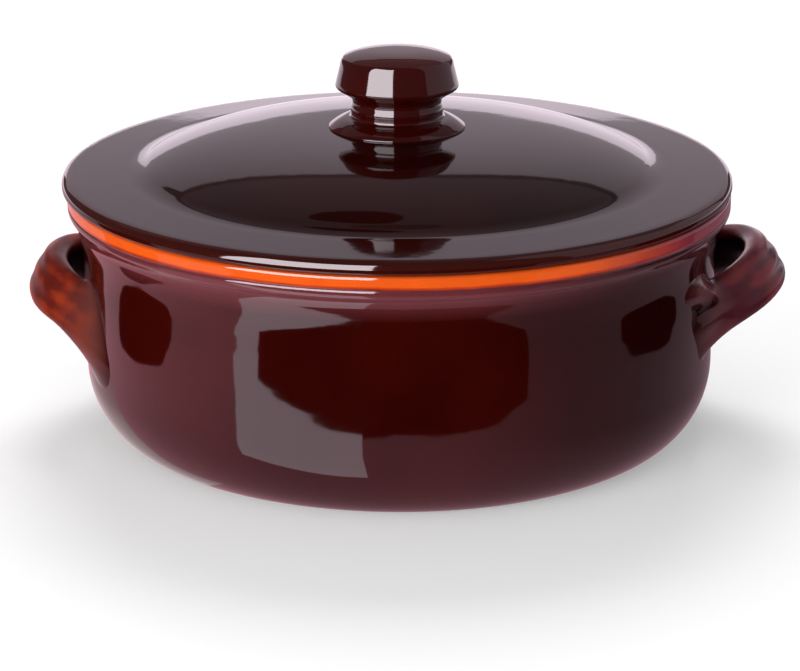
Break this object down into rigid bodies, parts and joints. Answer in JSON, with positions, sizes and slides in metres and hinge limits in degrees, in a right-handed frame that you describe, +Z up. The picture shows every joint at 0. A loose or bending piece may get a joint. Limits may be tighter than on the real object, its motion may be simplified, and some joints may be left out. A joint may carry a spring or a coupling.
{
  "type": "covered casserole dish",
  "caption": "Round glazed terracotta casserole with a flat base, strap ear handles and a wide-brimmed domed lift-off lid with a mushroom knob.",
  "frame": {"origin": "middle of the pot's flat base, on its axis", "axes": "+Z up along the pot's axis, +X towards the right handle, the picture looks along +Y"},
  "size_m": [0.3194, 0.28, 0.1607],
  "materials": {
    "brown_glaze": "gloss",
    "orange_glaze": "gloss",
    "thin_brown_glaze": "gloss"
  },
  "bodies": {
    "pot": {"pot_body": "brown_glaze", "rim_band": "orange_glaze", "right_handle": "thin_brown_glaze", "left_handle": "thin_brown_glaze"},
    "cover": {"lid": "brown_glaze", "knob": "brown_glaze"}
  },
  "joints": [
    {"name": "lid_lift", "type": "slide", "parent": "pot", "child": "cover", "axis": [0, 0, 1], "range_m": [0, 0.15]}
  ]
}
